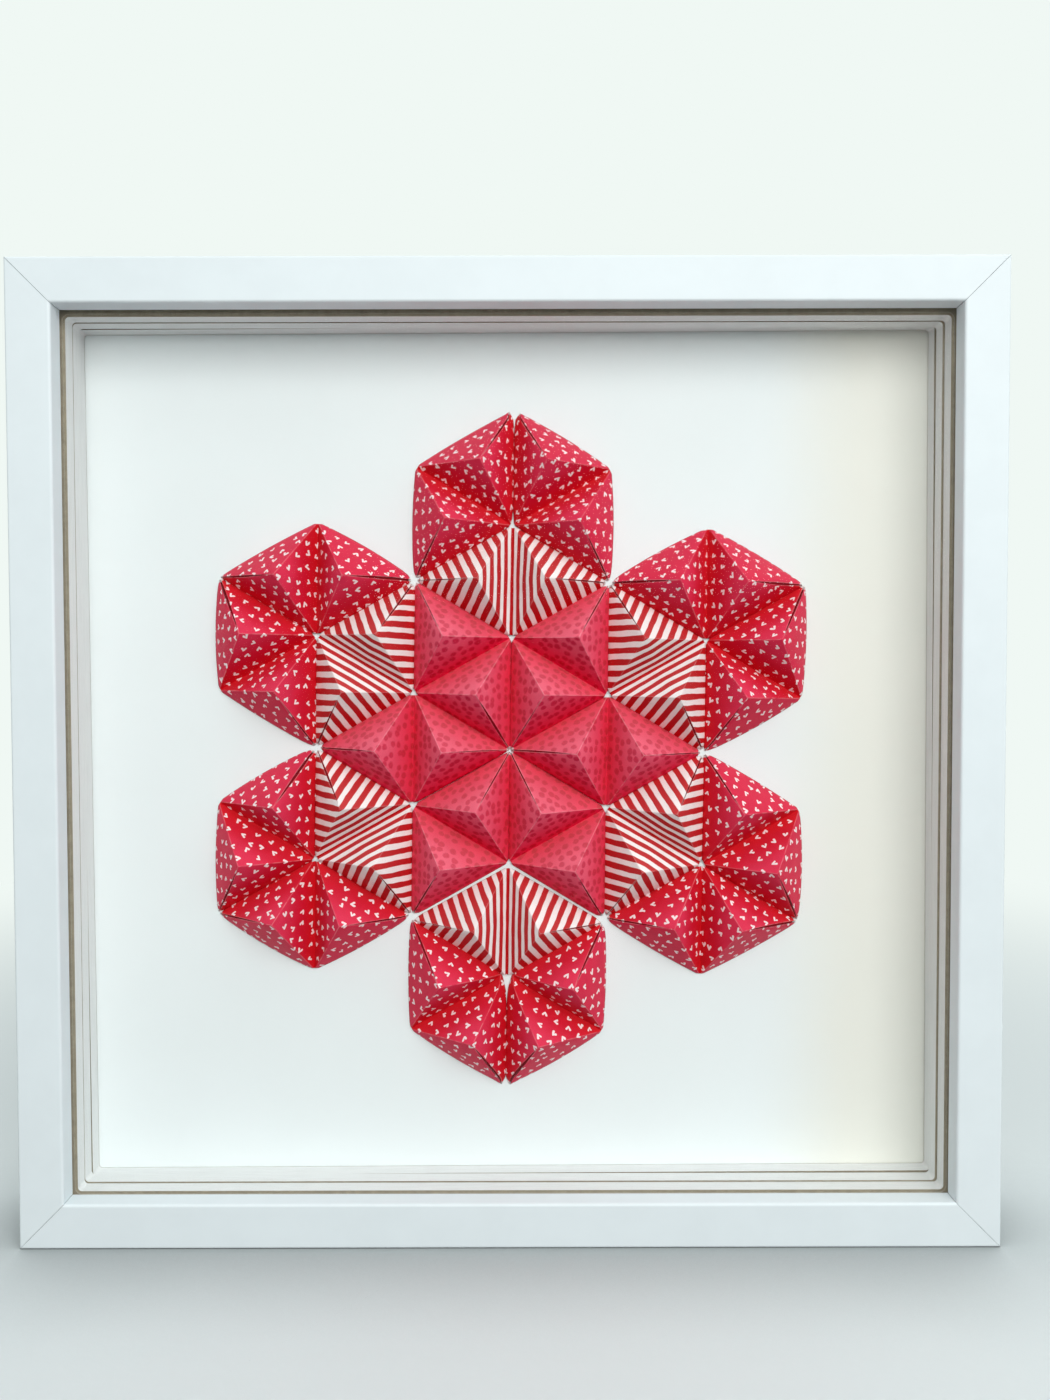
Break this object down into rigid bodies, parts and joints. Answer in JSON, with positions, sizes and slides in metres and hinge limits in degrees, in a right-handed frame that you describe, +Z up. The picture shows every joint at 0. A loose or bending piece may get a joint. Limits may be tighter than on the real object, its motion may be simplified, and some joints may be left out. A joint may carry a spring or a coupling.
{
  "type": "framed origami star",
  "caption": "Square white shadow-box frame with glass, holding a six-petalled star of folded paper units in dotted, striped and heart-printed red and pink papers.",
  "frame": {"origin": "bottom centre of the frame's outside box, half way through its depth", "axes": "+X to the right seen from the glazed front, +Y towards the back, which hangs against a wall, and +Z up"},
  "size_m": [0.3146, 0.035, 0.3146],
  "materials": {
    "white_rail": "satin",
    "clear_glass": "polished",
    "lined_board": "matte",
    "white_board": "matte",
    "dotted_paper": "matte",
    "striped_paper": "matte",
    "heart_paper": "matte",
    "hardboard": "matte",
    "steel": "satin"
  },
  "bodies": {
    "root": {"rail_bottom": "white_rail", "rail_right": "white_rail", "rail_top": "white_rail", "rail_left": "white_rail", "corner_v_nails": "steel", "glazing": "clear_glass", "spacer_ring_front": "lined_board", "spacer_ring_middle": "lined_board", "spacer_ring_rear": "lined_board", "mount_board": "white_board", "back_panel": "hardboard", "panel_tabs": "steel", "sawtooth_hanger": "steel", "hanger_rivets": "steel", "folded_unit_dotted_1": "dotted_paper", "folded_unit_dotted_2": "dotted_paper", "folded_unit_dotted_3": "dotted_paper", "folded_unit_dotted_4": "dotted_paper", "folded_unit_dotted_5": "dotted_paper", "folded_unit_dotted_6": "dotted_paper", "folded_unit_striped_1": "striped_paper", "folded_unit_striped_2": "striped_paper", "folded_unit_striped_3": "striped_paper", "folded_unit_striped_4": "striped_paper", "folded_unit_striped_5": "striped_paper", "folded_unit_striped_6": "striped_paper", "folded_unit_hearts_1": "heart_paper", "folded_unit_hearts_2": "heart_paper", "folded_unit_hearts_3": "heart_paper", "folded_unit_hearts_4": "heart_paper", "folded_unit_hearts_5": "heart_paper", "folded_unit_hearts_6": "heart_paper", "folded_unit_hearts_7": "heart_paper", "folded_unit_hearts_8": "heart_paper", "folded_unit_hearts_9": "heart_paper", "folded_unit_hearts_10": "heart_paper", "folded_unit_hearts_11": "heart_paper", "folded_unit_hearts_12": "heart_paper"}
  },
  "joints": []
}
